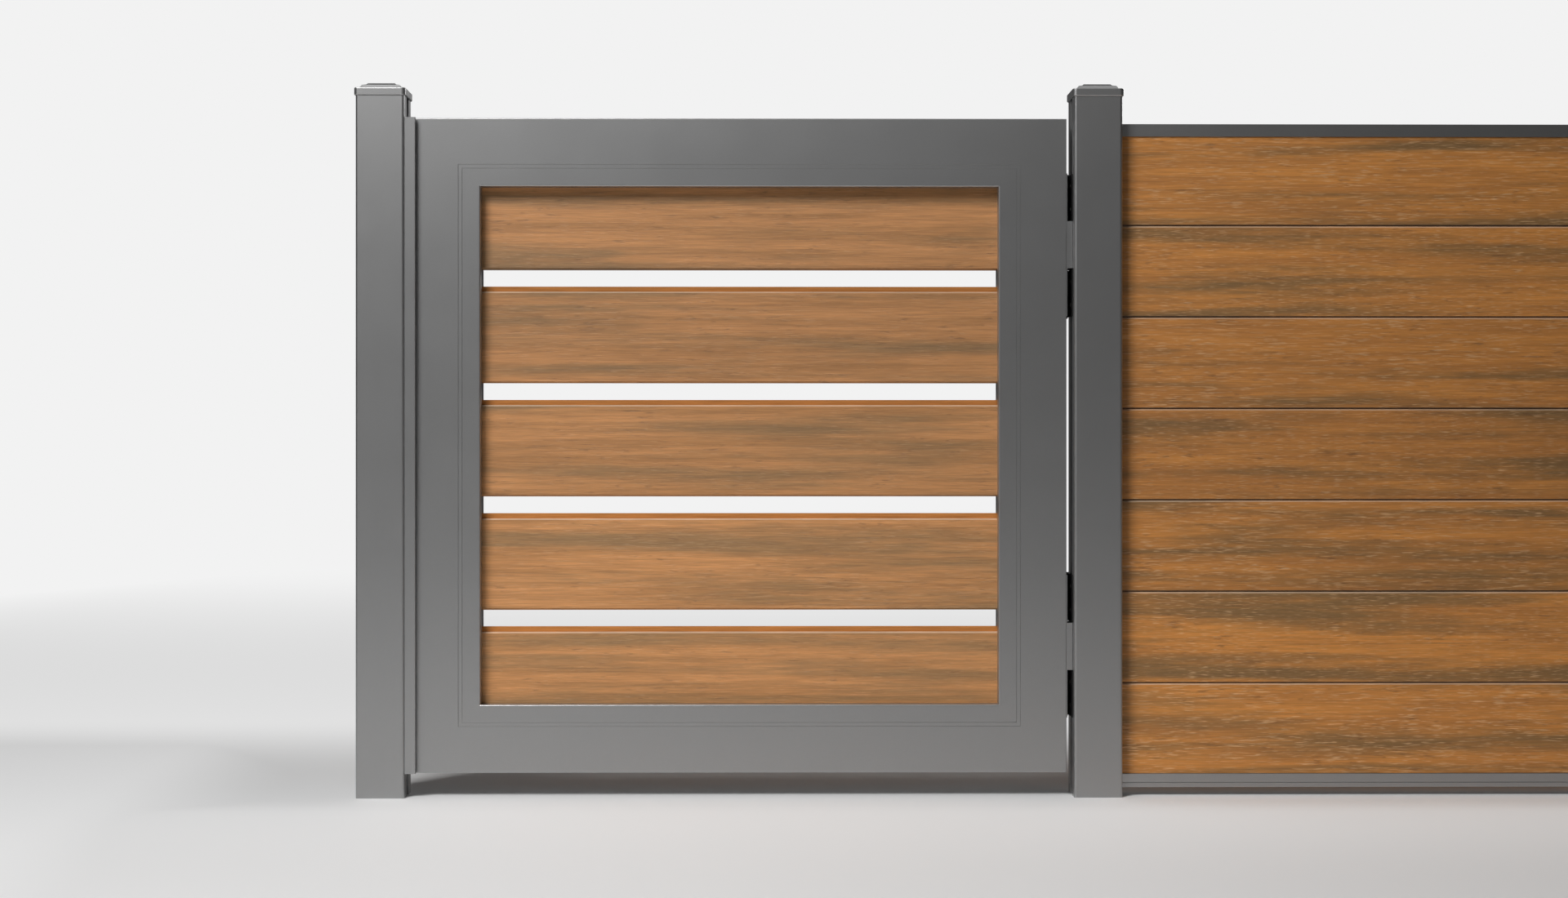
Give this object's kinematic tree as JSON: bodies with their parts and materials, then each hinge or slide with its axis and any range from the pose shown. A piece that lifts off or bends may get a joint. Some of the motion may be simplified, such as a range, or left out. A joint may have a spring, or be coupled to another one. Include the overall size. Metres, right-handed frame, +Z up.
{
  "type": "composite gate with posts and fence bay",
  "caption": "Single-leaf garden gate of wood-grain composite boards in a grey aluminium frame, hung between slotted capped posts, with an adjoining closed board fence bay.",
  "frame": {"origin": "middle of the hinge post's foot, at ground level", "axes": "+Z up, +X along the fence away from the gate, -Y towards the front of the gate"},
  "size_m": [2.1466, 0.0786, 1.0903],
  "materials": {
    "frame_grey": "satin powder coat",
    "composite_boards": "matt wood-grain composite",
    "spacer_black": "matt",
    "hinge_black": "black powder coat",
    "pin_steel": "blackened"
  },
  "bodies": {
    "posts_and_fence": {"latch_post": "frame_grey", "hinge_post": "frame_grey", "end_post": "frame_grey", "latch_post_cap": "frame_grey", "hinge_post_cap": "frame_grey", "end_post_cap": "frame_grey", "gate_stop": "frame_grey", "upper_hinge_bracket": "hinge_black", "lower_hinge_bracket": "hinge_black", "upper_hinge_pin": "pin_steel", "lower_hinge_pin": "pin_steel", "fence_top_rail": "frame_grey", "fence_bottom_rail": "frame_grey", "fence_board_1": "composite_boards", "fence_board_2": "composite_boards", "fence_board_3": "composite_boards", "fence_board_4": "composite_boards", "fence_board_5": "composite_boards", "fence_board_6": "composite_boards", "fence_board_7": "composite_boards"},
    "gate_leaf": {"latch_stile": "frame_grey", "hinge_stile": "frame_grey", "top_rail": "frame_grey", "bottom_rail": "frame_grey", "gate_board_1": "composite_boards", "gate_board_2": "composite_boards", "gate_board_3": "composite_boards", "gate_board_4": "composite_boards", "gate_board_5": "composite_boards", "latch_side_spacers": "spacer_black", "hinge_side_spacers": "spacer_black", "upper_hinge_leaf": "frame_grey", "lower_hinge_leaf": "frame_grey"}
  },
  "joints": [
    {"name": "gate_swing", "type": "hinge", "parent": "posts_and_fence", "child": "gate_leaf", "pos_m": [-0.042, 0.0225, 0.5], "axis": [0, 0, -1], "range_deg": [0, 90]}
  ]
}
